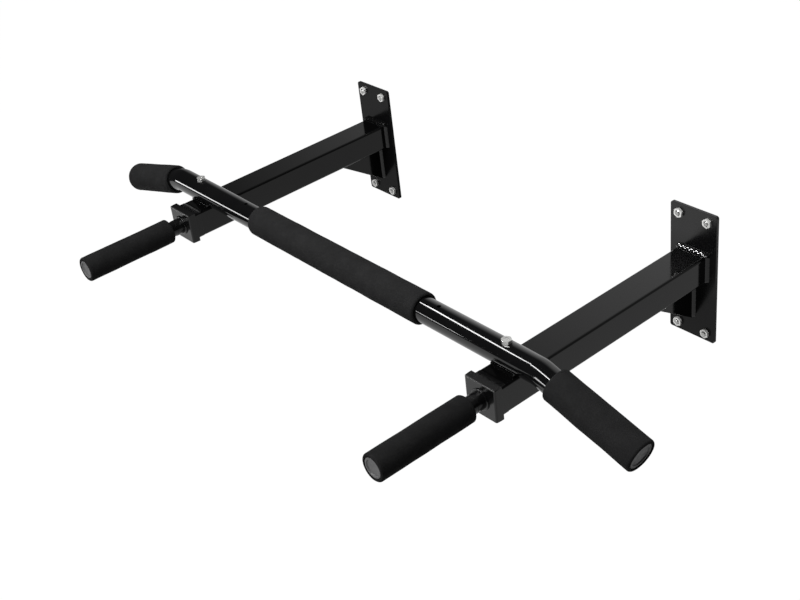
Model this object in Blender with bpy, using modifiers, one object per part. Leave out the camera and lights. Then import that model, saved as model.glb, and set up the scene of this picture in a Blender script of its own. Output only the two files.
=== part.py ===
"""Wall-mounted pull up bar: two bolted wall plates carry two box-section arms, and a
round bar with bent-down ends lies across the arms. Metres, +Z up, +X along the bar,
-Y out from the wall. The origin is in the wall plane, midway between the plates, at
the height of the arms' centre line."""
import math

import bmesh
import bpy
from mathutils import Matrix, Vector

GAP = 0.0003                 # clearance left between touching pieces

ARM_SPACING = 0.700          # centre to centre
PLATE_WIDTH = 0.080
PLATE_TOP = 0.089
PLATE_BOTTOM = -0.121
PLATE_THICK = 0.005
PLATE_CORNER = 0.0035
STUD_SPACING_X = 0.049
STUD_TOP = 0.0755
STUD_BOTTOM = -0.1080
STUD_RADIUS = 0.004
STUD_REACH = 0.0105          # from the wall face to the stud's free end
STUD_HOLE = 0.0045

NUT_FLATS = 0.013
NUT_HEIGHT = 0.004

ARM_WIDTH = 0.050
ARM_HEIGHT = 0.043
ARM_WALL = 0.0025
ARM_CORNER = 0.0045
ARM_FRONT = -0.4177

GUSSET_LENGTH = 0.100
GUSSET_DROP = 0.068
GUSSET_THICK = 0.005
GUSSET_NOSE = 0.003
WELD_RADIUS = 0.0026

COLLAR_WIDTH = 0.055
COLLAR_HEIGHT = 0.050
COLLAR_FRONT = -0.422
COLLAR_BACK = -0.409
COLLAR_FACE = 0.004
COLLAR_CORNER = 0.002

HAMMER_RADIUS = 0.0125
HAMMER_WALL = 0.002
HAMMER_INNER_END = -0.388
HAMMER_OUTER_END = -0.596
HAMMER_FOAM_RADIUS = 0.0198
HAMMER_FOAM_START = -0.446
HAMMER_FOAM_END = -0.600
HAMMER_RING_RADIUS = 0.016
HAMMER_RING_THICK = 0.0027

BAR_RADIUS = 0.0185
BAR_WALL = 0.0025
BAR_Y = -0.370
BAR_Z = 0.0415
BEND_X = 0.408               # where the straight and the bent centre lines meet
BEND_ANGLE = math.radians(16.0)
BEND_RADIUS = 0.045
END_REACH = 0.161            # from that corner to the tube's end
SPARE_HOLE_X = 0.2235
SPARE_HOLE_RADIUS = 0.003

FOAM_RADIUS = 0.0235
CENTRE_FOAM_HALF = 0.192
END_FOAM_START = 0.024
END_FOAM_END = 0.166
FOAM_ROUND = 0.0038
HAMMER_PLUG_RADIUS = 0.0147
END_PLUG_RADIUS = 0.0189
PLUG_THICK = 0.0032
PLUG_STEM = 0.011

SADDLE_LENGTH = 0.041
SADDLE_DEPTH = 0.025
SADDLE_TOP = 0.0262
SADDLE_CLEARANCE = 0.0003

BOLT_RADIUS = 0.004
BOLT_HOLE = 0.0043
BOLT_HEAD_HEIGHT = 0.006
WASHER_RADIUS = 0.0085
WASHER_THICK = 0.0016

SIDES = (("left", -1.0), ("right", 1.0))
ALONG_Y = Matrix.Rotation(math.radians(90.0), 4, "X")      # local +Z to world -Y
ALONG_X = Matrix.Rotation(math.radians(90.0), 4, "Y")      # local +Z to world +X
OUTLINE_YZ = Matrix(((0, 0, 1, 0), (1, 0, 0, 0), (0, 1, 0, 0), (0, 0, 0, 1)))

COLOURS = {
    "gloss_black": ((0.020, 0.020, 0.021, 1.0), 0.12, 0.0),
    "satin_black": ((0.030, 0.030, 0.031, 1.0), 0.35, 0.0),
    "foam_black": ((0.028, 0.028, 0.029, 1.0), 0.90, 0.0),
    "plug_grey": ((0.110, 0.110, 0.112, 1.0), 0.55, 0.0),
    "zinc": ((0.720, 0.720, 0.710, 1.0), 0.25, 1.0),
}


def clear_scene():
    for item in list(bpy.data.objects):
        bpy.data.objects.remove(item, do_unlink=True)


def make_collection(name):
    group = bpy.data.collections.new(name)
    bpy.context.scene.collection.children.link(group)
    return group


def make_material(name, look):
    colour, roughness, metallic = COLOURS[look]
    material = bpy.data.materials.new(name)
    material.use_nodes = True
    shader = material.node_tree.nodes["Principled BSDF"]
    shader.inputs["Base Color"].default_value = colour
    shader.inputs["Roughness"].default_value = roughness
    shader.inputs["Metallic"].default_value = metallic
    material.diffuse_color = colour
    return material


def put_in(item, group):
    for old in list(item.users_collection):
        old.objects.unlink(item)
    group.objects.link(item)


def finish(item, name, look, parent):
    """Name a part, give it its own material and hang it on the assembly's empty."""
    item.name = name
    item.data.name = name
    item.data.materials.clear()
    item.data.materials.append(make_material(name, look))
    put_in(item, PARTS)
    item.parent = parent
    item.data.shade_smooth()
    item.data.set_sharp_from_angle(angle=math.radians(35.0))
    return item


def cutter(item):
    item.name = "cut_" + item.name
    put_in(item, CUTTERS)
    item.hide_render = True
    item.display_type = "WIRE"
    return item


def boolean(item, other, operation="DIFFERENCE"):
    modifier = item.modifiers.new(operation.title(), "BOOLEAN")
    modifier.operation = operation
    modifier.solver = "EXACT"
    modifier.object = other


def cylinder(radius, depth, centre, turn=Matrix.Identity(4), vertices=24):
    bpy.ops.mesh.primitive_cylinder_add(vertices=vertices, radius=radius, depth=depth)
    item = bpy.context.object
    item.matrix_world = Matrix.Translation(centre) @ turn
    return item


def box(size, centre):
    bpy.ops.mesh.primitive_cube_add(size=1.0)
    item = bpy.context.object
    item.data.transform(Matrix.Diagonal((*size, 1.0)))
    item.location = centre
    return item


def meshed(curve_item):
    """Turn a curve object into a welded mesh object in the same place."""
    bpy.context.view_layer.update()
    graph = bpy.context.evaluated_depsgraph_get()
    mesh = bpy.data.meshes.new_from_object(curve_item.evaluated_get(graph))
    item = bpy.data.objects.new(curve_item.name, mesh)
    bpy.context.scene.collection.objects.link(item)
    item.matrix_world = curve_item.matrix_world
    bpy.data.objects.remove(curve_item, do_unlink=True)
    weld = bmesh_from(mesh)
    bmesh.ops.remove_doubles(weld, verts=weld.verts, dist=0.00001)
    weld.to_mesh(mesh)
    weld.free()
    return item


def bmesh_from(mesh):
    work = bmesh.new()
    work.from_mesh(mesh)
    return work


def add_spline(curve, points, closed):
    spline = curve.splines.new("POLY")
    spline.points.add(len(points) - 1)
    for slot, point in zip(spline.points, points):
        slot.co = (*point, 1.0)
    spline.use_cyclic_u = closed


def extruded(outlines, thickness, placing):
    """A flat outline, with any holes as further outlines, given a thickness."""
    curve = bpy.data.curves.new("outline", "CURVE")
    curve.dimensions = "2D"
    curve.fill_mode = "BOTH"
    curve.extrude = thickness / 2.0
    for outline in outlines:
        add_spline(curve, [(u, v, 0.0) for u, v in outline], True)
    item = bpy.data.objects.new("outline", curve)
    bpy.context.scene.collection.objects.link(item)
    item.matrix_world = placing
    return meshed(item)


def rod(points, radius, sides):
    """A solid round rod along a path."""
    curve = bpy.data.curves.new("rod", "CURVE")
    curve.dimensions = "3D"
    curve.bevel_depth = radius
    curve.bevel_resolution = (sides - 4) // 2
    curve.use_fill_caps = True
    add_spline(curve, points, False)
    item = bpy.data.objects.new("rod", curve)
    bpy.context.scene.collection.objects.link(item)
    return meshed(item)


def turned(profile, closed, placing, steps=32):
    """A profile of (radius, height) turned about local +Z."""
    edges = [(i, i + 1) for i in range(len(profile) - 1)]
    if closed:
        edges.append((len(profile) - 1, 0))
    mesh = bpy.data.meshes.new("turned")
    mesh.from_pydata([(r, 0.0, h) for r, h in profile], edges, [])
    item = bpy.data.objects.new("turned", mesh)
    bpy.context.scene.collection.objects.link(item)
    screw = item.modifiers.new("Turn", "SCREW")
    screw.steps = steps
    screw.render_steps = steps
    screw.use_merge_vertices = True
    screw.merge_threshold = 0.00001
    item.matrix_world = placing
    return item


def rounded_rectangle(left, right, low, high, radius, steps=4):
    corners = ((right, high, 0), (left, high, 1), (left, low, 2), (right, low, 3))
    points = []
    for x, y, quarter in corners:
        cx = x - math.copysign(radius, x - (left + right) / 2.0)
        cy = y - math.copysign(radius, y - (low + high) / 2.0)
        for step in range(steps + 1):
            angle = math.radians(90.0) * (quarter + step / steps)
            points.append((cx + radius * math.cos(angle), cy + radius * math.sin(angle)))
    return points


def placed(centre, turn):
    return Matrix.Translation(Vector(centre)) @ turn


def wall_plate(name, x):
    outline = rounded_rectangle(-PLATE_WIDTH / 2, PLATE_WIDTH / 2, PLATE_BOTTOM, PLATE_TOP,
                                PLATE_CORNER)
    item = extruded([outline], PLATE_THICK, placed((x, -PLATE_THICK / 2, 0.0), ALONG_Y))
    for sx, sz in stud_places():
        hole = cylinder(STUD_HOLE, 0.03, (x + sx, 0.0, sz), ALONG_Y, 20)
        boolean(item, cutter(hole))
    return finish(item, name, "gloss_black", ROOT)


def stud_places():
    half = STUD_SPACING_X / 2
    return [(sx, sz) for sz in (STUD_TOP, STUD_BOTTOM) for sx in (-half, half)]


def wall_stud(name, x, z):
    length = STUD_REACH - GAP
    centre = (x, -GAP - length / 2, z)
    return finish(cylinder(STUD_RADIUS, length, centre, ALONG_Y, 20), name, "zinc", ROOT)


def hex_nut(name, centre, turn):
    item = cylinder(NUT_FLATS / math.sqrt(3.0), NUT_HEIGHT, centre, turn, 6)
    boolean(item, cutter(cylinder(STUD_RADIUS + 0.0002, 0.03, centre, turn, 20)))
    return finish(item, name, "zinc", ROOT)


def arm(name, x):
    half_w, half_h = ARM_WIDTH / 2, ARM_HEIGHT / 2
    outer = rounded_rectangle(-half_w, half_w, -half_h, half_h, ARM_CORNER, 3)
    inner = rounded_rectangle(-half_w + ARM_WALL, half_w - ARM_WALL, -half_h + ARM_WALL,
                              half_h - ARM_WALL, ARM_CORNER / 3, 2)
    back = -PLATE_THICK - GAP
    length = back - ARM_FRONT
    item = extruded([outer, inner], length, placed((x, back - length / 2, 0.0), ALONG_Y))
    boolean(item, cutter(cylinder(BOLT_HOLE, 0.1, (x, BAR_Y, 0.0))))
    return finish(item, name, "gloss_black", ROOT)


def gusset(name, x):
    top = -ARM_HEIGHT / 2 - GAP
    back = -PLATE_THICK - GAP
    front = -GUSSET_LENGTH - PLATE_THICK
    low = -ARM_HEIGHT / 2 - GUSSET_DROP
    outline = [(back, top), (front, top), (front, top - GUSSET_NOSE),
               (back - GUSSET_NOSE, low), (back, low)]
    item = extruded([outline], GUSSET_THICK, placed((x, 0.0, 0.0), OUTLINE_YZ))
    return finish(item, name, "gloss_black", ROOT)


def arm_weld(name, x):
    """The bead over the top and down both sides of an arm, where it meets its plate."""
    offset = WELD_RADIUS + GAP
    y = -PLATE_THICK - offset
    half_w = ARM_WIDTH / 2 + offset
    high = ARM_HEIGHT / 2 + offset
    outline = rounded_rectangle(-half_w, half_w, -high, high, ARM_CORNER + offset * 0.6,
                                4)
    over = [(x + u, y, v) for u, v in outline if v > 0.0]
    path = [(x + half_w, y, -ARM_HEIGHT / 2)] + over + [(x - half_w, y, -ARM_HEIGHT / 2)]
    return finish(rod(path, WELD_RADIUS, 10), name, "gloss_black", ROOT)


def gusset_weld(name, x, side):
    offset = WELD_RADIUS + GAP
    across = x + side * (GUSSET_THICK / 2 + offset)
    y = -PLATE_THICK - offset
    top = -ARM_HEIGHT / 2 - offset
    low = -ARM_HEIGHT / 2 - GUSSET_DROP + 0.002
    path = [(across, y, top), (across, y, low)]
    return finish(rod(path, WELD_RADIUS, 10), name, "gloss_black", ROOT)


def saddle(name, x):
    """A seat on top of an arm, hollowed to the bar's round."""
    half = SADDLE_DEPTH / 2
    bottom = ARM_HEIGHT / 2 + GAP
    radius = BAR_RADIUS + SADDLE_CLEARANCE
    edge = math.asin((BAR_Z - SADDLE_TOP) / radius)
    steps = 10
    outline = [(BAR_Y - half, SADDLE_TOP), (BAR_Y - half, bottom), (BAR_Y + half, bottom),
               (BAR_Y + half, SADDLE_TOP)]
    for step in range(steps + 1):
        angle = -edge - (math.pi - 2.0 * edge) * step / steps
        outline.append((BAR_Y + radius * math.cos(angle), BAR_Z + radius * math.sin(angle)))
    item = extruded([outline], SADDLE_LENGTH, placed((x, 0.0, 0.0), OUTLINE_YZ))
    boolean(item, cutter(cylinder(BOLT_HOLE, 0.1, (x, BAR_Y, 0.0))))
    return finish(item, name, "gloss_black", ROOT)


def collar(name, x):
    """The cap over an arm's front end, with a round hole for the hammer handle."""
    depth = COLLAR_BACK - COLLAR_FRONT
    outline = rounded_rectangle(-COLLAR_WIDTH / 2, COLLAR_WIDTH / 2, -COLLAR_HEIGHT / 2,
                                COLLAR_HEIGHT / 2, COLLAR_CORNER, 3)
    centre = (x, (COLLAR_BACK + COLLAR_FRONT) / 2, 0.0)
    item = extruded([outline], depth, placed(centre, ALONG_Y))
    pocket_end = COLLAR_FRONT + COLLAR_FACE
    size = (ARM_WIDTH + 2 * GAP, 0.02, ARM_HEIGHT + 2 * GAP)
    boolean(item, cutter(box(size, (x, pocket_end + 0.01, 0.0))))
    hole = cylinder(HAMMER_RADIUS + GAP, 0.05, (x, COLLAR_FRONT, 0.0), ALONG_Y, 32)
    boolean(item, cutter(hole))
    return finish(item, name, "satin_black", ROOT)


def ring_profile(outer, inner, low, high):
    return [(outer, high), (outer, low), (inner, low), (inner, high)]


def hammer_ring(name, x):
    profile = ring_profile(HAMMER_RING_RADIUS, HAMMER_RADIUS + GAP, GAP, HAMMER_RING_THICK)
    item = turned(profile, True, placed((x, COLLAR_FRONT, 0.0), ALONG_Y))
    return finish(item, name, "gloss_black", ROOT)


def hammer_tube(name, x):
    length = HAMMER_INNER_END - HAMMER_OUTER_END
    profile = ring_profile(HAMMER_RADIUS, HAMMER_RADIUS - HAMMER_WALL, 0.0, length)
    item = turned(profile, True, placed((x, HAMMER_INNER_END, 0.0), ALONG_Y))
    return finish(item, name, "gloss_black", ROOT)


def foam_profile(radius, bore, length, recess_radius=0.0, recess_depth=0.0):
    """Half section of a sleeve with soft ends, open for a plug at the high end."""
    steps = 4
    points = []
    for step in range(steps + 1):
        angle = math.radians(90.0) * (1.0 - step / steps)
        points.append((radius - FOAM_ROUND + FOAM_ROUND * math.cos(angle),
                       length - FOAM_ROUND + FOAM_ROUND * math.sin(angle)))
    for step in range(steps + 1):
        angle = -math.radians(90.0) * step / steps
        points.append((radius - FOAM_ROUND + FOAM_ROUND * math.cos(angle),
                       FOAM_ROUND + FOAM_ROUND * math.sin(angle)))
    points.append((bore, 0.0))
    if recess_depth > 0.0:
        points.append((bore, length - recess_depth))
        points.append((recess_radius, length - recess_depth))
        points.append((recess_radius, length))
    else:
        points.append((bore, length))
    return points


def plug_profile(tube_radius, wall, flange):
    """A flanged push-in cap: the stem is below height 0, the face is on top."""
    stem = tube_radius - wall - GAP
    return [(0.0, PLUG_THICK), (flange - 0.0012, PLUG_THICK - 0.0003),
            (flange, PLUG_THICK - 0.0014), (flange, 0.0), (stem, 0.0),
            (stem - 0.0006, -PLUG_STEM), (0.0, -PLUG_STEM)]


def hammer_foam(name, x):
    length = HAMMER_FOAM_START - HAMMER_FOAM_END
    recess = HAMMER_OUTER_END - HAMMER_FOAM_END + 0.0004
    profile = foam_profile(HAMMER_FOAM_RADIUS, HAMMER_RADIUS + GAP, length,
                           HAMMER_PLUG_RADIUS + GAP, recess)
    item = turned(profile, True, placed((x, HAMMER_FOAM_START, 0.0), ALONG_Y))
    return finish(item, name, "foam_black", ROOT)


def hammer_plug(name, x):
    place = placed((x, HAMMER_OUTER_END - GAP, 0.0), ALONG_Y)
    profile = plug_profile(HAMMER_RADIUS, HAMMER_WALL, HAMMER_PLUG_RADIUS)
    item = turned(profile, False, place, 28)
    return finish(item, name, "plug_grey", ROOT)


def end_frame(side):
    """Local +Z along a bent end, starting at the corner of the two centre lines."""
    turn = math.radians(90.0) + BEND_ANGLE
    spin = Matrix.Rotation(side * turn, 4, "Y")
    return placed((side * BEND_X, BAR_Y, BAR_Z), spin)


def bar_path(extra):
    """Centre line from the left end to the right end, made longer by extra."""
    reach = BEND_RADIUS * math.tan(BEND_ANGLE / 2.0)
    steps = 5
    half = []
    for step in range(steps + 1):
        angle = BEND_ANGLE * step / steps
        half.append((BEND_X - reach + BEND_RADIUS * math.sin(angle), BAR_Y,
                     BAR_Z - BEND_RADIUS * (1.0 - math.cos(angle))))
    far = END_REACH + extra
    half.append((BEND_X + far * math.cos(BEND_ANGLE), BAR_Y,
                 BAR_Z - far * math.sin(BEND_ANGLE)))
    mirrored = [(-x, y, z) for x, y, z in reversed(half)]
    return mirrored + half


def bar_tube(name):
    item = rod(bar_path(0.0), BAR_RADIUS, 32)
    boolean(item, cutter(rod(bar_path(0.01), BAR_RADIUS - BAR_WALL, 32)))
    for _, side in SIDES:
        bolt_x = side * ARM_SPACING / 2
        boolean(item, cutter(cylinder(BOLT_HOLE, 0.1, (bolt_x, BAR_Y, BAR_Z))))
        spare = (side * SPARE_HOLE_X, BAR_Y, BAR_Z + BAR_RADIUS)
        boolean(item, cutter(cylinder(SPARE_HOLE_RADIUS, 0.016, spare, vertices=16)))
    return finish(item, name, "gloss_black", ROOT)


def centre_foam(name):
    profile = foam_profile(FOAM_RADIUS, BAR_RADIUS + GAP, 2 * CENTRE_FOAM_HALF)
    item = turned(profile, True, placed((-CENTRE_FOAM_HALF, BAR_Y, BAR_Z), ALONG_X))
    return finish(item, name, "foam_black", ROOT)


def end_foam(name, side):
    length = END_FOAM_END - END_FOAM_START
    recess = END_FOAM_END - END_REACH + 0.0004
    profile = foam_profile(FOAM_RADIUS, BAR_RADIUS + GAP, length,
                           END_PLUG_RADIUS + GAP, recess)
    place = end_frame(side) @ Matrix.Translation((0.0, 0.0, END_FOAM_START))
    return finish(turned(profile, True, place), name, "foam_black", ROOT)


def end_plug(name, side):
    place = end_frame(side) @ Matrix.Translation((0.0, 0.0, END_REACH + GAP))
    profile = plug_profile(BAR_RADIUS, BAR_WALL, END_PLUG_RADIUS)
    item = turned(profile, False, place, 32)
    return finish(item, name, "plug_grey", ROOT)


def bar_bolt(name, x):
    """Hex bolt down through the bar, the seat and both walls of the arm."""
    seat = BAR_Z + BAR_RADIUS + GAP
    tip = -ARM_HEIGHT / 2 - WASHER_THICK - NUT_HEIGHT - 0.004
    head_centre = (x, BAR_Y, seat + BOLT_HEAD_HEIGHT / 2)
    item = cylinder(NUT_FLATS / math.sqrt(3.0), BOLT_HEAD_HEIGHT, head_centre, vertices=6)
    length = seat + BOLT_HEAD_HEIGHT / 2 - tip
    shank = cylinder(BOLT_RADIUS, length, (x, BAR_Y, tip + length / 2), vertices=20)
    boolean(item, cutter(shank), "UNION")
    return finish(item, name, "zinc", ROOT)


def bar_washer(name, x):
    top = -ARM_HEIGHT / 2 - GAP
    profile = ring_profile(WASHER_RADIUS, BOLT_HOLE, top - WASHER_THICK, top)
    item = turned(profile, True, placed((x, BAR_Y, 0.0), Matrix.Identity(4)), 24)
    return finish(item, name, "zinc", ROOT)


def build_side(label, side):
    x = side * ARM_SPACING / 2
    wall_plate("wall_plate_" + label, x)
    for number, (sx, sz) in enumerate(stud_places(), start=1):
        wall_stud(f"wall_stud_{label}_{number}", x + sx, sz)
        centre = (x + sx, -PLATE_THICK - GAP - NUT_HEIGHT / 2, sz)
        hex_nut(f"wall_nut_{label}_{number}", centre, ALONG_Y)
    arm("arm_" + label, x)
    arm_weld("arm_weld_" + label, x)
    gusset("gusset_" + label, x)
    gusset_weld(f"gusset_weld_{label}_a", x, -1.0)
    gusset_weld(f"gusset_weld_{label}_b", x, 1.0)
    saddle("saddle_" + label, x)
    collar("collar_" + label, x)
    hammer_ring("hammer_ring_" + label, x)
    hammer_tube("hammer_tube_" + label, x)
    hammer_foam("hammer_foam_" + label, x)
    hammer_plug("hammer_plug_" + label, x)
    end_foam("end_foam_" + label, side)
    end_plug("end_plug_" + label, side)
    bar_bolt("bar_bolt_" + label, x)
    bar_washer("bar_washer_" + label, x)
    nut_z = -ARM_HEIGHT / 2 - WASHER_THICK - 2 * GAP - NUT_HEIGHT / 2
    hex_nut("bar_nut_" + label, (x, BAR_Y, nut_z), Matrix.Identity(4))


clear_scene()
PARTS = make_collection("pull_up_bar")
CUTTERS = make_collection("cutters")
ROOT = bpy.data.objects.new("pull_up_bar_root", None)
PARTS.objects.link(ROOT)
bar_tube("bar_tube")
centre_foam("centre_foam")
for side_label, side_sign in SIDES:
    build_side(side_label, side_sign)
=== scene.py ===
"""The looks of a wall-mounted pull up bar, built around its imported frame."""
import math

import bmesh
import bpy
from mathutils import Matrix, Vector, noise


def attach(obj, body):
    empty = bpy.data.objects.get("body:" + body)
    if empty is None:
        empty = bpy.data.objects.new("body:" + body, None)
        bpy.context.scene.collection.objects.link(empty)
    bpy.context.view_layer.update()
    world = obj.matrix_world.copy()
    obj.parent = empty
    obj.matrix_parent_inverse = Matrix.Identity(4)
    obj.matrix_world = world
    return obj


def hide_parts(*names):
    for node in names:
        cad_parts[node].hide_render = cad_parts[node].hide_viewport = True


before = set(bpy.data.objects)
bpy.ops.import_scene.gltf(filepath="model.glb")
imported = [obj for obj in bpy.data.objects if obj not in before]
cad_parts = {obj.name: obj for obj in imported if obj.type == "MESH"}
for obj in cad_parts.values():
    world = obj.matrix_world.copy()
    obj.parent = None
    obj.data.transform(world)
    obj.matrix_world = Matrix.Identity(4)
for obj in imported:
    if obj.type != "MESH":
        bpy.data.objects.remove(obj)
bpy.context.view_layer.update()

# Sizes repeated from the CAD model, in metres.
ARM_X = 0.350
PLATE_W, PLATE_TOP, PLATE_LOW, PLATE_T, PLATE_R = 0.080, 0.089, -0.121, 0.005, 0.0035
PLATE_HOLE_R = 0.0045
STUD_DX, STUD_TOP, STUD_LOW, STUD_R, STUD_END = 0.0245, 0.0755, -0.1080, 0.004, -0.0105
NUT_FLATS, NUT_H, HEAD_H = 0.013, 0.004, 0.0046
ARM_W, ARM_H, ARM_WALL, ARM_R, ARM_FRONT = 0.050, 0.043, 0.0025, 0.0036, -0.4177
GUSSET_LEN, GUSSET_DROP, GUSSET_T, GUSSET_NOSE = 0.100, 0.068, 0.005, 0.003
COLLAR_W, COLLAR_H, COLLAR_FRONT, COLLAR_BACK = 0.055, 0.050, -0.422, -0.409
HAMMER_R, HAMMER_WALL, HAMMER_IN, HAMMER_OUT = 0.0125, 0.002, -0.388, -0.596
RING_R, RING_T = 0.0158, 0.0027
HFOAM_R, HFOAM_START, HFOAM_END = 0.0198, -0.446, -0.600
BAR_R, BAR_WALL, BAR_Y, BAR_Z = 0.0185, 0.0025, -0.370, 0.0415
BEND_X, BEND_ANGLE, BEND_R, END_REACH = 0.408, math.radians(16.0), 0.045, 0.161
FOAM_R, CENTRE_HALF, EFOAM_START, EFOAM_END = 0.0235, 0.192, 0.024, 0.166
HPLUG_R, EPLUG_R = 0.0147, 0.0189
SPARE_X, SPARE_R = 0.2235, 0.003
SADDLE_L, SADDLE_D, SADDLE_TOP = 0.041, 0.025, 0.0262
BOLT_HOLE, WASHER_R, WASHER_T = 0.0043, 0.0085, 0.0016

# Sizes of the looks alone.
GAP = 0.0003                # between parts that are bolted or pushed together
FIT = 0.0002                # between a tube and what is pushed over it
THROUGH = 0.1               # a drill longer than any part is deep
SHALLOW = 0.03              # a drill for one wall
CREASE = 32.0               # degrees from which an edge is shaded sharp
GRIP_LIP, BAR_LIP = 0.0030, 0.0045
PLATE_FADE = (-0.050, 0.050)
SIDES = (("left", -1.0), ("right", 1.0))
TO_Y = Matrix.Rotation(math.radians(90.0), 4, "X")        # local +Z to -Y
TO_X = Matrix.Rotation(math.radians(90.0), 4, "Y")        # local +Z to +X


# ---------------------------------------------------------------- mesh helpers

def make_piece(name, bm, place=Matrix.Identity(4), sharp=CREASE):
    """Turn a bmesh into a linked object with smooth shading and sharp creases."""
    mesh = bpy.data.meshes.new(name)
    bmesh.ops.recalc_face_normals(bm, faces=bm.faces)
    bm.to_mesh(mesh)
    bm.free()
    mesh.transform(place)
    if place.determinant() < 0.0:
        mesh.flip_normals()
    item = bpy.data.objects.new(name, mesh)
    bpy.context.scene.collection.objects.link(item)
    mesh.shade_smooth()
    mesh.set_sharp_from_angle(angle=math.radians(sharp))
    return item


def use(item, material, slot, *nodes):
    """Give a piece its material, hang it under the root body and hide the CAD nodes it stands
    for.
    """
    item.data.materials.clear()
    item.data.materials.append(material)
    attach(item, "root")
    if nodes:
        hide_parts(*nodes)
    return item


def loft(rings, closed_path=False, cap=True):
    """Skin equal rings of points into one closed body."""
    bm = bmesh.new()
    rows = [[bm.verts.new(p) for p in ring] for ring in rings]
    count = len(rows[0])
    spans = len(rows) if closed_path else len(rows) - 1
    for i in range(spans):
        a, b = rows[i], rows[(i + 1) % len(rows)]
        for j in range(count):
            k = (j + 1) % count
            bm.faces.new((a[j], a[k], b[k], b[j]))
    if cap and not closed_path:
        bm.faces.new(rows[0])
        bm.faces.new(rows[-1])
    return bm


def lathe(profile, steps, wobble=None):
    """Turn (radius, height) points about +Z. A profile that starts and ends on the axis
    gives a solid body, and any other is taken as a closed loop."""
    bm = bmesh.new()
    solid = profile[0][0] < 1e-9 and profile[-1][0] < 1e-9
    rows = []
    for radius, height in profile:
        if radius < 1e-9:
            rows.append([bm.verts.new((0.0, 0.0, height))])
            continue
        row = []
        for step in range(steps):
            angle = math.tau * step / steps
            r = radius + (wobble(radius, height, angle) if wobble else 0.0)
            row.append(bm.verts.new((r * math.cos(angle), r * math.sin(angle), height)))
        rows.append(row)
    spans = len(rows) - 1 if solid else len(rows)
    for i in range(spans):
        a, b = rows[i], rows[(i + 1) % len(rows)]
        for j in range(steps):
            k = (j + 1) % steps
            corners = [a[j % len(a)], a[k % len(a)], b[k % len(b)], b[j % len(b)]]
            bm.faces.new(list(dict.fromkeys(corners)))
    return bm


def arc(cx, cy, radius, start, end, steps):
    """Points on a circle between two angles in degrees."""
    angles = [start + (end - start) * i / steps for i in range(steps + 1)]
    return [(cx + radius * math.cos(math.radians(a)),
             cy + radius * math.sin(math.radians(a))) for a in angles]


def rounded_rect(left, right, low, high, radius, steps=6):
    r = radius
    return (arc(right - r, high - r, r, 0, 90, steps)
            + arc(left + r, high - r, r, 90, 180, steps)
            + arc(left + r, low + r, r, 180, 270, steps)
            + arc(right - r, low + r, r, 270, 360, steps))


def prism(outline, depth):
    """A flat outline given a thickness, centred on local z = 0."""
    low = [(u, v, -depth / 2) for u, v in outline]
    high = [(u, v, depth / 2) for u, v in outline]
    return loft([low, high])


def tube_prism(outer, inner, depth):
    """A hollow section between two outlines with equal point counts."""
    z = depth / 2
    rings = [[(u, v, -z) for u, v in inner], [(u, v, -z) for u, v in outer],
             [(u, v, z) for u, v in outer], [(u, v, z) for u, v in inner]]
    return loft(rings, closed_path=True)


def evaluated_mesh(item):
    """The mesh with its modifiers applied."""
    bpy.context.view_layer.update()
    graph = bpy.context.evaluated_depsgraph_get()
    return bpy.data.meshes.new_from_object(item.evaluated_get(graph))


def cut(item, cutters, operation="DIFFERENCE"):
    """Boolean with the cutters, applied, and the cutters removed."""
    for other in cutters:
        modifier = item.modifiers.new("cut", "BOOLEAN")
        modifier.operation = operation
        modifier.solver = "EXACT"
        modifier.object = other
    mesh = evaluated_mesh(item)
    item.modifiers.clear()
    item.data = mesh
    for other in cutters:
        bpy.data.objects.remove(other, do_unlink=True)
    return item


def soften(item, width, segments=2, angle=40.0, sharp=CREASE, front=None):
    """Round the edges that bend by more than the angle: all of them, or only those whose
    Y is below front."""
    bm = bmesh.new()
    bm.from_mesh(item.data)
    bmesh.ops.remove_doubles(bm, verts=bm.verts, dist=1e-6)
    edges = [e for e in bm.edges if len(e.link_faces) == 2
             and e.calc_face_angle(0.0) > math.radians(angle)
             and (front is None or max(v.co.y for v in e.verts) < front)]
    bmesh.ops.bevel(bm, geom=edges, offset=width, offset_type="OFFSET", segments=segments,
                    profile=0.5, affect="EDGES", clamp_overlap=True)
    bm.to_mesh(item.data)
    bm.free()
    item.data.shade_smooth()
    item.data.set_sharp_from_angle(angle=math.radians(sharp))
    return weigh(item)


def weigh(item):
    """Let the large flat faces keep their own normals, so that gloss stays even."""
    modifier = item.modifiers.new("weigh", "WEIGHTED_NORMAL")
    modifier.weight, modifier.keep_sharp = 100, True
    mesh = evaluated_mesh(item)
    item.modifiers.clear()
    item.data = mesh
    return item


def drill(radius, depth, centre, turn=Matrix.Identity(4), steps=32):
    """A round cutter, along Z unless it is turned."""
    half = depth / 2
    profile = [(0.0, half), (radius, half), (radius, -half), (0.0, -half)]
    return make_piece("drill", lathe(profile, steps), Matrix.Translation(centre) @ turn)


# ------------------------------------------------------------------- materials

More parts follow.
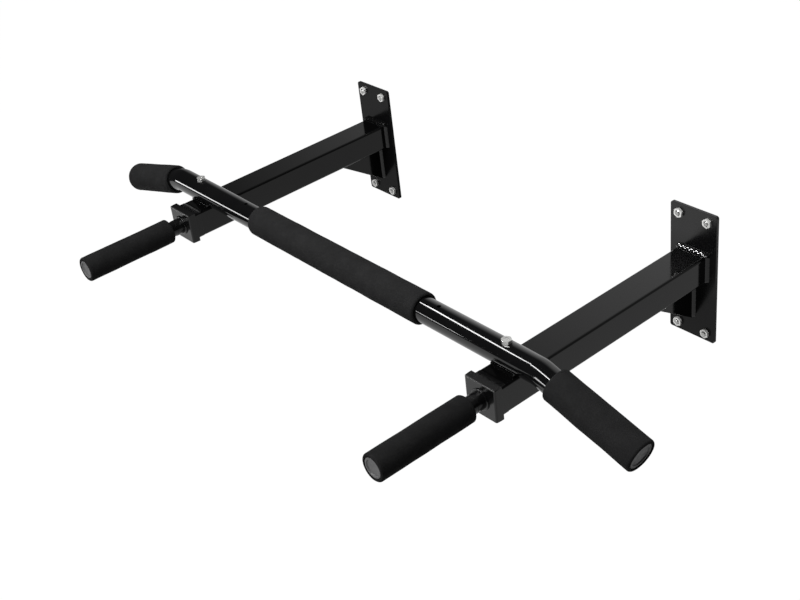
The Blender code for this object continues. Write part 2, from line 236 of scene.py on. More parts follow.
class Nodes:
    """A short way to write a node tree."""

    def __init__(self, name):
        self.material = bpy.data.materials.new(name)
        self.material.use_nodes = True
        self.tree = self.material.node_tree
        self.shader = self.tree.nodes["Principled BSDF"]
        coords = self.tree.nodes.new("ShaderNodeTexCoord")
        self.place = coords.outputs["Object"]

    def set(self, **values):
        for key, value in values.items():
            self.shader.inputs[key.replace("_", " ")].default_value = value

    def add(self, kind, **values):
        node = self.tree.nodes.new("ShaderNode" + kind)
        for key, value in values.items():
            key = key.replace("_", " ")
            if key in node.inputs:
                node.inputs[key].default_value = value
            else:
                setattr(node, key.replace(" ", "_"), value)
        return node

    def link(self, source, target):
        self.tree.links.new(source, target)

    def axis(self, letter):
        """One coordinate of the point on the surface."""
        split = self.add("SeparateXYZ")
        self.link(self.place, split.inputs[0])
        return split.outputs[letter]

    def noise(self, scale, detail=3.0, rough=0.5, stretch=None):
        node = self.add("TexNoise", Scale=scale, Detail=detail, Roughness=rough)
        source = self.place
        if stretch:
            mapping = self.add("Mapping", Scale=stretch)
            self.link(source, mapping.inputs["Vector"])
            source = mapping.outputs["Vector"]
        self.link(source, node.inputs["Vector"])
        return node.outputs["Fac"]

    def cells(self, scale):
        node = self.add("TexVoronoi", Scale=scale)
        self.link(self.place, node.inputs["Vector"])
        return node.outputs["Distance"]

    def ramp(self, source, low, high, from_low=0.3, from_high=0.7):
        node = self.add("MapRange", From_Min=from_low, From_Max=from_high,
                        To_Min=low, To_Max=high)
        self.link(source, node.inputs["Value"])
        return node.outputs["Result"]

    def mix(self, factor, low, high):
        node = self.add("Mix", data_type="RGBA")
        for socket, value in ((node.inputs["A"], low), (node.inputs["B"], high)):
            if isinstance(value, tuple):
                socket.default_value = (*value, 1.0)
            else:
                self.link(value, socket)
        self.link(factor, node.inputs["Factor"])
        return node.outputs["Result"]

    def math(self, operation, first, second):
        node = self.add("Math", operation=operation)
        for socket, value in zip(node.inputs, (first, second)):
            if isinstance(value, float):
                socket.default_value = value
            else:
                self.link(value, socket)
        return node.outputs[0]

    def bump(self, height, strength, distance, normal=None):
        node = self.add("Bump", Strength=strength, Distance=distance)
        self.link(height, node.inputs["Height"])
        if normal is not None:
            self.link(normal, node.inputs["Normal"])
        return node.outputs["Normal"]

    def out(self, **links):
        for key, source in links.items():
            self.link(source, self.shader.inputs[key.replace("_", " ")])
        return self.material


def paint(name, base, rough, specular, peel, index=1.5, edge_highlight=None):
    """Glossy black paint: a faint orange peel, cloudy gloss and a little dust. Two specular
    levels fade up a wall plate, and a painted highlight pales a collar's upper front edge."""
    n = Nodes(name)
    n.set(IOR=index)
    if isinstance(specular, float):
        n.set(Specular_IOR_Level=specular)
    else:
        n.set(Specular_IOR_Level=sum(specular) / 2)
        fade = n.ramp(n.axis("Z"), *specular, *PLATE_FADE)
        n.link(fade, n.shader.inputs["Specular IOR Level"])
    dust = n.ramp(n.noise(9.0, 6.0, 0.6), 0.0, 1.0, 0.45, 0.75)
    colour = n.mix(dust, base, tuple(v * 1.5 + 0.0004 for v in base))
    # Painted highlight: a paler tone along a collar's upper front edge stands in for a bright
    # line of reflection.
    if edge_highlight:
        near, far, edge = 0.0006, 0.0022, COLLAR_H / 2
        top = n.ramp(n.axis("Z"), 0.0, 1.0, edge - far, edge - near)
        front = n.ramp(n.axis("Y"), 1.0, 0.0, COLLAR_FRONT + near, COLLAR_FRONT + far)
        colour = n.mix(n.math("MULTIPLY", top, front), colour, (edge_highlight, edge_highlight, edge_highlight))
    gloss = n.ramp(n.noise(26.0, 5.0, 0.55), *rough)
    normal = n.bump(n.noise(420.0, 2.0), peel, 0.0004)
    return n.out(Base_Color=colour, Roughness=gloss, Normal=normal)


def foam_material(name, tone):
    """Closed-cell foam: a matte skin with fine pores and soft mottling."""
    n = Nodes(name)
    n.set(Specular_IOR_Level=0.06)
    mottle = n.ramp(n.noise(38.0, 5.0, 0.6), 0.0, 1.0, 0.35, 0.65)
    colour = n.mix(mottle, (tone, tone, tone * 1.02), (tone * 1.25, tone * 1.25, tone * 1.27))
    rough = n.ramp(n.noise(90.0, 3.0), 0.78, 0.95)
    pores = n.bump(n.cells(1500.0), 0.35, 0.0004)
    skin = n.bump(n.noise(700.0, 4.0, 0.65), 0.40, 0.0005, pores)
    return n.out(Base_Color=colour, Roughness=rough, Normal=skin)


def plug_material():
    """Grey moulded plastic with a fine spark-eroded grain."""
    n = Nodes("plug_plastic")
    n.set(Specular_IOR_Level=0.45)
    cloud = n.ramp(n.noise(60.0, 4.0), 0.0, 1.0)
    colour = n.mix(cloud, (0.098, 0.098, 0.100), (0.122, 0.122, 0.124))
    rough = n.ramp(n.noise(200.0, 3.0), 0.42, 0.60)
    grain = n.bump(n.noise(1600.0, 2.0), 0.30, 0.0002)
    return n.out(Base_Color=colour, Roughness=rough, Normal=grain)


def zinc_material(name, metallic, low, high):
    """Zinc plate, bright or cloudy: mottled, with short drawn marks."""
    n = Nodes(name)
    n.set(Metallic=metallic)
    mottle = n.ramp(n.noise(240.0, 5.0, 0.7), 0.0, 1.0)
    colour = n.mix(mottle, (low, low, low * 0.98), (high, high, high * 0.98))
    rough = n.ramp(n.noise(520.0, 3.0, 0.6), 0.16, 0.34)
    marks = n.bump(n.noise(900.0, 3.0, stretch=(1.0, 1.0, 0.15)), 0.08, 0.0002)
    return n.out(Base_Color=colour, Roughness=rough, Normal=marks)


BAR_PAINT = paint("bar_gloss_paint", (0.0035, 0.0035, 0.0037), rough=(0.045, 0.085),
                  specular=0.50, peel=0.015)
STEEL_PAINT = paint("steel_gloss_paint", (0.0018, 0.0018, 0.0019), rough=(0.070, 0.120),
                    specular=0.42, peel=0.03)
PLATE_TONE = (0.0032, 0.0032, 0.0034)
PLATE_PAINT = {
    "left": paint("plate_paint_left", PLATE_TONE, rough=(0.170, 0.220),
                  specular=(0.06, 0.10), peel=0.05),
    "right": paint("plate_paint_right", PLATE_TONE, rough=(0.190, 0.240),
                   specular=(0.12, 0.44), peel=0.05)}
WELD_PAINT = {
    "left": paint("weld_paint_left", (0.0035, 0.0035, 0.0036), rough=(0.120, 0.180),
                  specular=0.25, peel=0.12),
    "right": paint("weld_paint_right", (0.0060, 0.0060, 0.0062), rough=(0.100, 0.160),
                   specular=1.00, peel=0.12, index=2.4)}
# The collars carry a painted highlight along their upper front edges.
COLLAR_PAINT = paint("collar_satin_paint", (0.0040, 0.0040, 0.0042), rough=(0.150, 0.200),
                     specular=0.42, peel=0.02, edge_highlight=0.060)
HANDLE_PAINT = paint("handle_gloss_paint", (0.0040, 0.0040, 0.0042), rough=(0.110, 0.170),
                     specular=0.45, peel=0.02)
BAR_FOAM = foam_material("bar_foam_skin", 0.0155)
# The handle foam is the bar's foam in a darker tone: painted shade, because the handles catch
# less light.
SHADED_HANDLE_FOAM = foam_material("handle_foam_painted_shade", 0.0115)
PLUG = plug_material()
ZINC = zinc_material("zinc_bright", metallic=0.75, low=0.78, high=0.94)
NUT_ZINC = zinc_material("zinc_cloudy", metallic=0.35, low=0.84, high=0.94)
STUD_ZINC = zinc_material("zinc_dull", metallic=0.8, low=0.36, high=0.56)


# ---------------------------------------------------------------------- pieces

def wall_plate(label, x):
    outline = rounded_rect(-PLATE_W / 2, PLATE_W / 2, PLATE_LOW, PLATE_TOP, PLATE_R)
    place = Matrix.Translation((x, -PLATE_T / 2, 0.0)) @ TO_Y
    item = make_piece("plate_" + label, prism(outline, PLATE_T), place)
    holes = [drill(PLATE_HOLE_R, SHALLOW, (x + dx, 0.0, z), TO_Y)
             for dx, z in stud_places()]
    soften(cut(item, holes), 0.0005)
    return use(item, PLATE_PAINT[label], "steel_gloss", "wall_plate_" + label)


def stud_places():
    """Where the four fixings of a plate stand, from the plate's middle line."""
    return [(dx, z) for z in (STUD_TOP, STUD_LOW) for dx in (-STUD_DX, STUD_DX)]


def thread(radius, start, end, pitch=0.00125, depth=0.0006, chamfer=0.0006):
    """The profile of a threaded rod, from start up to a chamfered end."""
    root = radius - depth
    points = [(0.0, start), (root, start)]
    z = start + pitch * 0.4
    while z + pitch < end - 0.0008:
        points += [(root, z), (radius, z + pitch * 0.42), (radius, z + pitch * 0.58)]
        z += pitch
    points += [(root, z), (root, end - chamfer), (root - chamfer, end), (0.0, end)]
    return points


def wall_stud(name, x, z, node):
    place = Matrix.Translation((x, 0.0, z)) @ TO_Y
    item = make_piece(name, lathe(thread(STUD_R, GAP, -STUD_END), 32), place)
    return use(item, STUD_ZINC, "zinc", node)


def hexagon(flats):
    r = flats / math.sqrt(3.0)
    angles = [math.radians(60 * i + 30) for i in range(6)]
    return [(r * math.cos(a), r * math.sin(a)) for a in angles]


def barrel(flats, height, chamfer_low, chamfer_high):
    """The turned envelope that cuts a hexagon's corners at 30 degrees."""
    wide, half, flat = flats * 0.60, height / 2, flats * 0.530
    rise = (wide - flat) * math.tan(math.radians(30.0))
    points = [(0.0, half)]
    points += [(flat, half), (wide, half - rise)] if chamfer_high else [(wide, half)]
    points += [(wide, rise - half), (flat, -half)] if chamfer_low else [(wide, -half)]
    return points + [(0.0, -half)]


def hex_solid(name, height, chamfer_low=True, chamfer_high=True):
    taller = height + 0.002
    item = make_piece(name, prism(hexagon(NUT_FLATS), taller), sharp=24.0)
    profile = barrel(NUT_FLATS, height, chamfer_low, chamfer_high)
    return cut(item, [make_piece("envelope", lathe(profile, 96))], "INTERSECT")


def nut_mesh():
    """One hex nut with a countersunk bore, for every nut of the part."""
    item = hex_solid("nut", NUT_H)
    bore, mouth, straight, end = 0.0041, 0.0049, 0.0016, 0.003
    profile = [(0.0, end), (mouth, end), (bore, straight), (bore, -straight),
               (mouth, -end), (0.0, -end)]
    cut(item, [make_piece("bore", lathe(profile, 48))])
    soften(item, 0.00018, 2, 25.0, 24.0)
    mesh = item.data
    bpy.data.objects.remove(item, do_unlink=True)
    return mesh


def copy_of(mesh, name, place):
    """A piece of its own from a mesh that is made once."""
    copy = mesh.copy()
    copy.transform(place)
    item = bpy.data.objects.new(name, copy)
    bpy.context.scene.collection.objects.link(item)
    return item


def arm(label, x):
    back = -PLATE_T - GAP
    length = back - ARM_FRONT
    hw, hh, w = ARM_W / 2, ARM_H / 2, ARM_WALL
    outer = rounded_rect(-hw, hw, -hh, hh, ARM_R, 8)
    inner = rounded_rect(w - hw, hw - w, w - hh, hh - w, ARM_R - w, 8)
    place = Matrix.Translation((x, back - length / 2, 0.0)) @ TO_Y
    item = make_piece("arm_tube_" + label, tube_prism(outer, inner, length), place)
    cut(item, [drill(BOLT_HOLE, THROUGH, (x, BAR_Y, 0.0))])
    item.data.shade_smooth()
    item.data.set_sharp_from_angle(angle=math.radians(CREASE))
    return use(weigh(item), STEEL_PAINT, "steel_gloss", "arm_" + label)


def yz_piece(name, outline, thickness, x):
    """A prism whose outline is drawn in Y and Z and whose thickness runs along X."""
    place = Matrix(((0, 0, 1, x), (1, 0, 0, 0), (0, 1, 0, 0), (0, 0, 0, 1)))
    return make_piece(name, prism(outline, thickness), place)


def gusset(label, x):
    top, back = -ARM_H / 2 - GAP, -PLATE_T - GAP
    front, low = -GUSSET_LEN - PLATE_T, -ARM_H / 2 - GUSSET_DROP
    outline = [(back, top), (front, top), (front, top - GUSSET_NOSE),
               (back - GUSSET_NOSE, low), (back, low)]
    item = soften(yz_piece("gusset_plate_" + label, outline, GUSSET_T, x), 0.0006)
    return use(item, STEEL_PAINT, "steel_gloss", "gusset_" + label)


def weld_bead(name, path, facing, radius, node, material, ripple, sway, crown=None):
    """A straight run of overlapping weld ripples: the bead swells, then tucks under the
    next ripple, and wanders a little from side to side. A crown under one flattens the
    face that it turns to the eye."""
    pitch, step, taper, sides = 0.0038, 0.00045, 0.003, 20
    start, end = path
    total = (end - start).length
    count = int(total / step)
    run = (end - start).normalized()
    out = Vector(facing).normalized()
    out = (out - run * out.dot(run)).normalized()
    side = run.cross(out)
    rings = []
    for i in range(count + 1):
        s = total * i / count
        swell = 1.0 - ripple * ((s / pitch) % 1.0) ** 1.6
        ends = min(1.0, s / taper, (total - s) / taper)
        size = radius * swell * (0.35 + 0.65 * math.sqrt(max(ends, 0.0)))
        wander = radius * sway * math.sin(math.tau * s / (pitch * 2.0))
        jitter = noise.noise(Vector((s * 300.0, radius * 900.0, 0.0))) * radius * 0.12
        centre = start.lerp(end, s / total) + side * (wander + jitter)
        ring = []
        for j in range(sides):
            angle = math.tau * j / sides
            bulge = math.cos(angle)
            shift = -run * (pitch * 0.22) * max(bulge, 0.0) ** 2
            if crown:
                bulge = crown * math.tanh(bulge / crown)
            ring.append(centre + (out * bulge + side * math.sin(angle)) * size + shift)
        rings.append(ring)
    item = make_piece(name, loft(rings), sharp=60.0)
    return use(item, material, "weld_bead", node)


def arm_weld(label, x):
    """A bright rippled bead over the arm's top and a flat fillet down each side."""
    offset, inset, node = 0.0014, 0.0005, "arm_weld_" + label
    y, half, top = -PLATE_T - offset, ARM_W / 2 + offset, ARM_H / 2 + offset
    path = Vector((x - half, y, top)), Vector((x + half, y, top))
    weld_bead("plate_weld_" + label, path, (0, -1, 1), 0.0038, node, WELD_PAINT[label],
              ripple=0.14, sway=0.36)
    for letter, side in (("a", -1.0), ("b", 1.0)):
        a, b = x + side * (ARM_W / 2 + inset), -PLATE_T - inset
        path = Vector((a, b, top)), Vector((a, b, -ARM_H / 2))
        weld_bead(f"plate_fillet_{label}_{letter}", path, (side, -1, 0), 0.0045, node,
                  STEEL_PAINT, ripple=0.05, sway=0.04, crown=0.6)


def gusset_weld(label, letter, x, side):
    inset, under = 0.0005, -ARM_H / 2
    a, y = x + side * (GUSSET_T / 2 + inset), -PLATE_T - inset
    path = Vector((a, y, under - 0.002)), Vector((a, y, under - GUSSET_DROP))
    return weld_bead(f"gusset_bead_{label}_{letter}", path, (side, -1, 0), 0.0042,
                     f"gusset_weld_{label}_{letter}", STEEL_PAINT, ripple=0.05, sway=0.04,
                     crown=0.6)


def saddle(label, x):
    half, bottom = SADDLE_D / 2, ARM_H / 2 + 0.0001
    radius = BAR_R + FIT
    edge = math.degrees(math.asin((BAR_Z - SADDLE_TOP) / radius))
    outline = [(BAR_Y - half, bottom), (BAR_Y + half, bottom), (BAR_Y + half, SADDLE_TOP)]
    outline += arc(BAR_Y, BAR_Z, radius, -edge, -180 + edge, 24)
    outline += [(BAR_Y - half, SADDLE_TOP)]
    item = yz_piece("seat_" + label, outline, SADDLE_L, x)
    cut(item, [drill(BOLT_HOLE, THROUGH, (x, BAR_Y, 0.0))])
    soften(item, 0.0011, 3)
    return use(item, HANDLE_PAINT, "steel_gloss", "saddle_" + label)


def collar(label, x):
    half, r = COLLAR_W / 2, 0.0028
    outline = arc(half - r, COLLAR_FRONT + r, r, 0, -90, 8)
    outline += arc(r - half, COLLAR_FRONT + r, r, -90, -180, 8)
    outline += [(-half, COLLAR_BACK), (half, COLLAR_BACK)]
    item = make_piece("end_cap_" + label, prism(outline, COLLAR_H),
                      Matrix.Translation((x, 0, 0)))
    soften(item, 0.0023, 5, front=COLLAR_FRONT + 0.008)
    hw, hh, face = ARM_W / 2 + GAP, ARM_H / 2 + GAP, 0.004
    pocket_depth = 0.02
    middle = COLLAR_FRONT + (face + pocket_depth / 2)
    pocket = make_piece("pocket", prism(rounded_rect(-hw, hw, -hh, hh, ARM_R), pocket_depth),
                        Matrix.Translation((x, middle, 0.0)) @ TO_Y)
    hole = drill(HAMMER_R + 0.0004, SHALLOW, (x, COLLAR_FRONT, 0.0), TO_Y, 64)
    soften(cut(item, [pocket, hole]), 0.0006, 3)
    return use(item, COLLAR_PAINT, "collar_satin", "collar_" + label)


def hammer_ring(label, x):
    inner, chamfer, edge = HAMMER_R + 0.0001, 0.0004, 0.0016
    profile = [(inner, 0.0), (inner, RING_T - chamfer), (inner + chamfer, RING_T)]
    profile += arc(RING_R - edge, RING_T - edge, edge, 80, 0, 6)
    profile += [(RING_R, 0.0)]
    place = Matrix.Translation((x, COLLAR_FRONT, 0.0)) @ TO_Y
    item = make_piece("handle_ring_" + label, lathe(profile, 96), place)
    return use(item, HANDLE_PAINT, "steel_gloss", "hammer_ring_" + label)


def hammer_tube(label, x):
    length = HAMMER_IN - HAMMER_OUT
    outer, inner = HAMMER_R, HAMMER_R - HAMMER_WALL
    profile = [(inner, 0.0), (outer, 0.0), (outer, length), (inner, length)]
    place = Matrix.Translation((x, HAMMER_IN, 0.0)) @ TO_Y
    item = make_piece("handle_tube_" + label, lathe(profile, 96), place)
    return use(item, HANDLE_PAINT, "steel_gloss", "hammer_tube_" + label)


def foam_sleeve(name, place, node, radius, bore, length, lip, material, seed, recess=None):
    """A soft sleeve with rolled lips and a slight unevenness. Its far end may have a wider
    recess (radius, depth) for a plug."""
    first = min(lip, radius - bore - 0.0012)
    last = min(lip, radius - recess[0] - 0.0008) if recess else first
    spans = max(int(length / 0.004), 12)
    outside = [(radius, first + (length - first - last) * i / spans)
               for i in range(1, spans)]
    start = arc(radius - first, first, first, -90, 0, 9)
    finish = arc(radius - last, length - last, last, 0, 90, 9)
    profile = [(bore + 0.0003, 0.0002)] + start + outside + finish
    if recess:
        wide, deep = recess
        profile += [(wide + 0.0003, length - 0.0002), (wide, length - 0.0008),
                    (wide, length - deep), (bore, length - deep)]
    else:
        profile += [(bore + 0.0003, length - 0.0002), (bore, length - 0.0008)]
    profile += [(bore, 0.0008)]

    def uneven(r, z, angle):
        if r < (recess[0] if recess else bore) + 0.0008:
            return 0.0
        p = Vector((math.cos(angle) * 1.3, math.sin(angle) * 1.3, z * 26.0 + seed))
        return noise.noise(p) * 0.00035 + noise.noise(p * 3.1) * 0.00012

    item = make_piece(name, lathe(profile, 128, uneven), place, 60.0)
    use(item, material, "foam", node)
    return item


def end_plug(name, place, node, flange, bore):
    """A push-in plug: a raised rim round a shallow dish, and a ribbed stem."""
    thick, dish, edge, tip = 0.0032, 0.0014, 0.0011, -0.0110
    stem = bore - 0.0003
    core = stem - 0.0004
    face = [(0.0, thick - dish), (flange * 0.55, thick - dish),
            (flange * 0.75, thick - 0.0013), (flange * 0.78, thick - 0.0005),
            (flange * 0.80, thick), (flange * 0.84, thick)]
    face += arc(flange - edge, thick - edge, edge, 80, 0, 5)
    ribs = [(flange, 0.0), (core, 0.0)]
    for i in range(4):
        z = -0.0015 - 0.0024 * i
        ribs += [(core, z), (stem, z - 0.0005), (core, z - 0.0012)]
    ribs += [(stem - 0.0010, tip), (0.0, tip)]
    item = make_piece(name, lathe(face + ribs, 96), place)
    return use(item, PLUG, "plug", node)


def bend_frames():
    """Points (x, z) and slopes of the bar's centre line, left end to right end."""
    reach = BEND_R * math.tan(BEND_ANGLE / 2)
    half = [((BEND_X - reach) * i / 24, 0.0, 0.0) for i in range(24)]
    for step in range(25):
        a = BEND_ANGLE * step / 24
        half.append((BEND_X - reach + BEND_R * math.sin(a), BEND_R * (math.cos(a) - 1),
                     a))
    for step in range(1, 7):
        far = reach + (END_REACH - reach) * step / 6
        half.append((BEND_X + far * math.cos(BEND_ANGLE), -far * math.sin(BEND_ANGLE),
                     BEND_ANGLE))
    left = [(-x, z, -a) for x, z, a in reversed(half[1:])]
    return left + half


def bar_ring(x, z, a, radius, sides):
    """A circle across the bar where its centre line slopes by a."""
    up = Vector((math.sin(a), 0.0, math.cos(a)))
    centre = Vector((x, BAR_Y, BAR_Z + z))
    out = Vector((0.0, 1.0, 0.0))
    return [centre + (out * math.cos(t) + up * math.sin(t)) * radius
            for t in (math.tau * j / sides for j in range(sides))]


def bar_normal(point):
    """The direction straight out from the bar's centre line."""
    side = math.copysign(1.0, point.x)
    x, reach = abs(point.x), BEND_R * math.tan(BEND_ANGLE / 2)
    start = BEND_X - reach
    if x <= start:
        centre = Vector((x, BAR_Y, BAR_Z))
    else:
        pivot = Vector((start, BAR_Y, BAR_Z - BEND_R))
        arm_to = Vector((x - pivot.x, 0.0, point.z - pivot.z))
        a = min(math.atan2(arm_to.x, arm_to.z), BEND_ANGLE)
        run = Vector((math.cos(a), 0.0, -math.sin(a)))
        corner = pivot + Vector((math.sin(a), 0.0, math.cos(a))) * BEND_R
        centre = corner + run * (Vector((x, BAR_Y, point.z)) - corner).dot(run)
    out = Vector((x, point.y, point.z)) - centre
    return Vector((out.x * side, out.y, out.z)).normalized()


def bar_tube():
    """The bent tube, with normals from its centre line so that highlights run straight
    past the drilled holes."""
    outer = [bar_ring(*f, BAR_R, 96) for f in bend_frames()]
    inner = [bar_ring(*f, BAR_R - BAR_WALL, 96) for f in bend_frames()]
    item = make_piece("bent_bar", loft(outer + inner[::-1], closed_path=True))
    drills = []
    for _, side in SIDES:
        drills.append(drill(BOLT_HOLE, THROUGH, (side * ARM_X, BAR_Y, BAR_Z)))
        drills.append(drill(SPARE_R, 0.016, (side * SPARE_X, BAR_Y, BAR_Z + BAR_R)))
    cut(item, drills)
    mesh = item.data
    mesh.shade_smooth()
    loop_normals = [None] * len(mesh.loops)
    for face in mesh.polygons:
        for index in face.loop_indices:
            out = bar_normal(mesh.vertices[mesh.loops[index].vertex_index].co)
            lean = out.dot(face.normal)
            loop_normals[index] = (out if lean > 0.8 else
                                   -out if lean < -0.8 else face.normal)
    mesh.normals_split_custom_set(loop_normals)
    return use(item, BAR_PAINT, "bar_gloss", "bar_tube")


def end_place(side, along):
    """Local +Z down a bent end, from a distance past the bend."""
    spin = Matrix.Rotation(side * (math.radians(90.0) + BEND_ANGLE), 4, "Y")
    corner = Matrix.Translation((side * BEND_X, BAR_Y, BAR_Z))
    return corner @ spin @ Matrix.Translation((0.0, 0.0, along))


def bar_bolt(label, x):
    """Hex bolt with a slightly dished head, hollowed underneath to sit on the round bar."""
    seat, skirt, tail = BAR_Z + BAR_R + FIT, 0.0012, 0.004
    head = hex_solid("head", HEAD_H + skirt, False, True)
    head.data.transform(Matrix.Translation((x, BAR_Y, seat + (HEAD_H - skirt) / 2)))
    cut(head, [drill(BAR_R + FIT, SHALLOW, (x, BAR_Y, BAR_Z), TO_X, 128)])
    low = -ARM_H / 2 - WASHER_T - NUT_H - tail
    shank = make_piece("shank", lathe(thread(STUD_R, low, seat + 0.003), 32),
                       Matrix.Translation((x, BAR_Y, 0.0)))
    dish_profile = [(0.0, 0.002), (0.0042, 0.002), (0.0036, -0.0005), (0.0, -0.0007)]
    dish = make_piece("dish", lathe(dish_profile, 48),
                      Matrix.Translation((x, BAR_Y, seat + HEAD_H)))
    item = cut(cut(head, [dish]), [shank], "UNION")
    item.name = "bar_bolt_body_" + label
    soften(item, 0.0002, 2, 25.0, 24.0)
    return use(item, ZINC, "zinc", "bar_bolt_" + label)


def bar_washer(label, x):
    top, chamfer = -ARM_H / 2 - 0.0001, 0.0003
    low = top - WASHER_T
    rim, inside = WASHER_R - chamfer, BOLT_HOLE + chamfer
    profile = [(WASHER_R, top - chamfer), (rim, top), (inside, top),
               (BOLT_HOLE, top - chamfer), (BOLT_HOLE, low + chamfer), (inside, low),
               (rim, low), (WASHER_R, low + chamfer)]
    item = make_piece("washer_" + label, lathe(profile, 64),
                      Matrix.Translation((x, BAR_Y, 0.0)))
    return use(item, ZINC, "zinc", "bar_washer_" + label)


def wall_fixings(label, side, nut):
    for number, (dx, z) in enumerate(stud_places(), start=1):
        x = side * ARM_X + dx
        wall_stud(f"stud_{label}_{number}", x, z, f"wall_stud_{label}_{number}")
        turn = Matrix.Rotation(math.radians(5.0 * side * (-1) ** number), 4, "Z")
        place = Matrix.Translation((x, -PLATE_T - GAP - NUT_H / 2, z)) @ TO_Y @ turn
        item = copy_of(nut, f"nut_{label}_{number}", place)
        use(item, NUT_ZINC, "zinc", f"wall_nut_{label}_{number}")


def build_side(label, side, nut):
    x = side * ARM_X
    wall_plate(label, x)
    wall_fixings(label, side, nut)
    arm(label, x)
    arm_weld(label, x)
    gusset(label, x)
    gusset_weld(label, "a", x, -1.0)
    gusset_weld(label, "b", x, 1.0)
    saddle(label, x)
    collar(label, x)
    hammer_ring(label, x)
    hammer_tube(label, x)
    foam_sleeve("handle_grip_" + label, Matrix.Translation((x, HFOAM_START, 0.0)) @ TO_Y,
                "hammer_foam_" + label, HFOAM_R, HAMMER_R + FIT, HFOAM_START - HFOAM_END,
                GRIP_LIP, SHADED_HANDLE_FOAM, seed=3.0 + side,
                recess=(HPLUG_R + GAP, HAMMER_OUT - HFOAM_END + 0.0004))
    end_plug("handle_plug_" + label, Matrix.Translation((x, HAMMER_OUT - GAP, 0.0)) @ TO_Y,
             "hammer_plug_" + label, HPLUG_R, HAMMER_R - HAMMER_WALL)
    foam_sleeve("end_grip_" + label, end_place(side, EFOAM_START), "end_foam_" + label,
                FOAM_R, BAR_R + FIT, EFOAM_END - EFOAM_START, BAR_LIP, BAR_FOAM,
                seed=9.0 + side, recess=(EPLUG_R + GAP, EFOAM_END - END_REACH + 0.0004))
    end_plug("bar_plug_" + label, end_place(side, END_REACH + GAP), "end_plug_" + label,
             EPLUG_R, BAR_R - BAR_WALL)
    bar_bolt(label, x)
    bar_washer(label, x)
    nut_z = -ARM_H / 2 - WASHER_T - 2 * GAP - NUT_H / 2
    item = copy_of(nut, "lock_nut_" + label, Matrix.Translation((x, BAR_Y, nut_z)))
    use(item, ZINC, "zinc", "bar_nut_" + label)


bar_tube()
foam_sleeve("centre_grip", Matrix.Translation((-CENTRE_HALF, BAR_Y, BAR_Z)) @ TO_X,
            "centre_foam", FOAM_R, BAR_R + FIT, 2 * CENTRE_HALF, BAR_LIP, BAR_FOAM,
            seed=17.0)
NUT_MESH = nut_mesh()
for side_label, side_sign in SIDES:
    build_side(side_label, side_sign, NUT_MESH)


# ------------------------------------------------------------ camera and studio

def add_camera():
    azimuth, elevation, roll = (math.radians(a) for a in (53.35, 32.19, -7.40))
    target, distance = Vector((0.0376, -0.2984, -0.0278)), 1.9233
    back = Vector((math.sin(azimuth) * math.cos(elevation),
                   -math.cos(azimuth) * math.cos(elevation), math.sin(elevation)))
    level = back.to_track_quat("Z", "Y")
    data = bpy.data.cameras.new("camera")
    data.sensor_width, data.lens = 36.0, 58.58
    data.shift_x, data.shift_y = 0.0050, -0.0120
    data.clip_start, data.clip_end = 0.05, 100.0
    camera = bpy.data.objects.new("camera", data)
    camera.rotation_mode = "QUATERNION"
    camera.rotation_quaternion = level @ Matrix.Rotation(roll, 3, "Z").to_quaternion()
    camera.location = target + back * distance
    bpy.context.scene.collection.objects.link(camera)
    bpy.context.scene.camera = camera


def add_light(name, start, end, width, power, aim, glossy=True):
    """A long light between two points, facing a third: either a strip that is seen in
    the gloss alone, or a soft box that lights without being seen."""
    start, end, aim = Vector(start), Vector(end), Vector(aim)
    middle, run = (start + end) / 2, (end - start)
    data = bpy.data.lights.new(name, "AREA")
    data.shape = "RECTANGLE"
    data.size, data.size_y = run.length, width
    data.energy = power
    light = bpy.data.objects.new(name, data)
    z_axis = (middle - aim).normalized()
    x_axis = (run - z_axis * run.dot(z_axis)).normalized()
    y_axis = z_axis.cross(x_axis)
    light.matrix_world = Matrix.Translation(middle) @ Matrix(
        (x_axis, y_axis, z_axis)).transposed().to_4x4()
    light.visible_camera = False
    light.visible_glossy = glossy
    light.visible_diffuse = not glossy
    bpy.context.scene.collection.objects.link(light)


def add_floor():
    """White to the eye, and clear from below; the paint sees it brighter in front than
    behind."""
    bm = bmesh.new()
    bmesh.ops.create_circle(bm, cap_ends=True, radius=5.5, segments=96)
    floor = make_piece("floor", bm, Matrix.Translation((0.0, -0.3, -1.1)))
    n = Nodes("floor_white")
    n.set(Roughness=0.9, Specular_IOR_Level=0.0, Emission_Color=(1, 1, 1, 1))
    tone = n.mix(n.noise(3.0), (0.020, 0.020, 0.020), (0.024, 0.024, 0.024))
    path = n.add("LightPath")
    across = n.math("ADD", n.axis("X"), n.axis("Y"))
    gloss = n.ramp(across, 0.85, 0.44, -1.8, 2.6)
    gloss_part = n.math("MULTIPLY", gloss, path.outputs["Is Glossy Ray"])
    seen = n.math("MAXIMUM", gloss_part, path.outputs["Is Camera Ray"])
    strength = n.math("MAXIMUM", seen, 0.30)
    front = n.math("SUBTRACT", 1.0, n.add("NewGeometry").outputs["Backfacing"])
    floor.data.materials.append(n.out(Base_Color=tone, Emission_Strength=strength,
                                      Alpha=front))


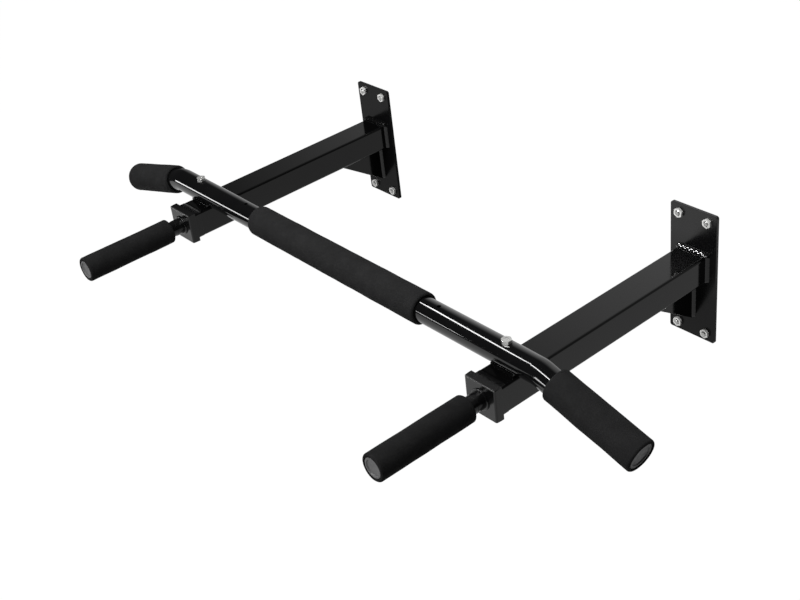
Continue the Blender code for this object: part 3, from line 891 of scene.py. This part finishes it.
def add_world():
    """White to the eye; to the paint, a dark studio with a bright wall behind."""
    world = bpy.data.worlds.new("studio")
    bpy.context.scene.world = world
    world.use_nodes = True
    tree = world.node_tree
    tree.nodes.clear()
    new, link = tree.nodes.new, tree.links.new
    coords, split = new("ShaderNodeTexCoord"), new("ShaderNodeSeparateXYZ")
    link(coords.outputs["Generated"], split.inputs[0])

    def smooth(axis, *values):
        node = new("ShaderNodeMapRange")
        node.interpolation_type = "SMOOTHSTEP"
        for key, value in zip(("From Min", "From Max", "To Min", "To Max"), values):
            node.inputs[key].default_value = value
        link(split.outputs[axis], node.inputs["Value"])
        return node.outputs["Result"]

    both = new("ShaderNodeMath")
    both.operation = "MULTIPLY"
    link(smooth("Y", 0.36, 0.80, 0.03, 0.95), both.inputs[0])
    link(smooth("X", 0.00, 0.35, 1.0, 0.32), both.inputs[1])
    studio, white = new("ShaderNodeBackground"), new("ShaderNodeBackground")
    for node in (studio, white):
        node.inputs["Color"].default_value = (1, 1, 1, 1)
    link(both.outputs[0], studio.inputs["Strength"])
    path, mix = new("ShaderNodeLightPath"), new("ShaderNodeMixShader")
    link(path.outputs["Is Camera Ray"], mix.inputs[0])
    link(studio.outputs[0], mix.inputs[1])
    link(white.outputs[0], mix.inputs[2])
    link(mix.outputs[0], new("ShaderNodeOutputWorld").inputs["Surface"])


add_camera()
add_floor()
add_world()
CENTRE, BEND = (0.0, -0.37, 0.03), (0.42, -0.38, 0.04)
add_light("strip_high", (-0.59, -0.49, 0.947), (-0.31, -0.83, 0.912), 0.085, 3.2, CENTRE)
add_light("strip_bend", (-0.31, -0.86, 0.880), (0.32, -1.02, 0.900), 0.10, 5.8, CENTRE)
add_light("strip_left", (-1.05, -1.17, 0.12), (-1.40, -1.09, 0.00), 0.11, 1.7, CENTRE)
add_light("strip_right", (-0.49, -1.312, -0.002), (-0.70, -1.26, 0.05), 0.05, 0.50, CENTRE)
add_light("strip_end", (-0.11, -1.34, -0.19), (0.00, -1.39, 0.05), 0.07, 0.7, BEND)
add_light("soft_top", (-1.4, -1.0, 2.2), (1.0, -1.0, 2.2), 1.6, 60.0, CENTRE, glossy=False)
add_light("soft_front", (-0.9, -2.6, 1.2), (0.9, -2.6, 1.2), 1.4, 30.0, CENTRE, glossy=False)
bpy.context.scene.view_settings.view_transform = "Standard"
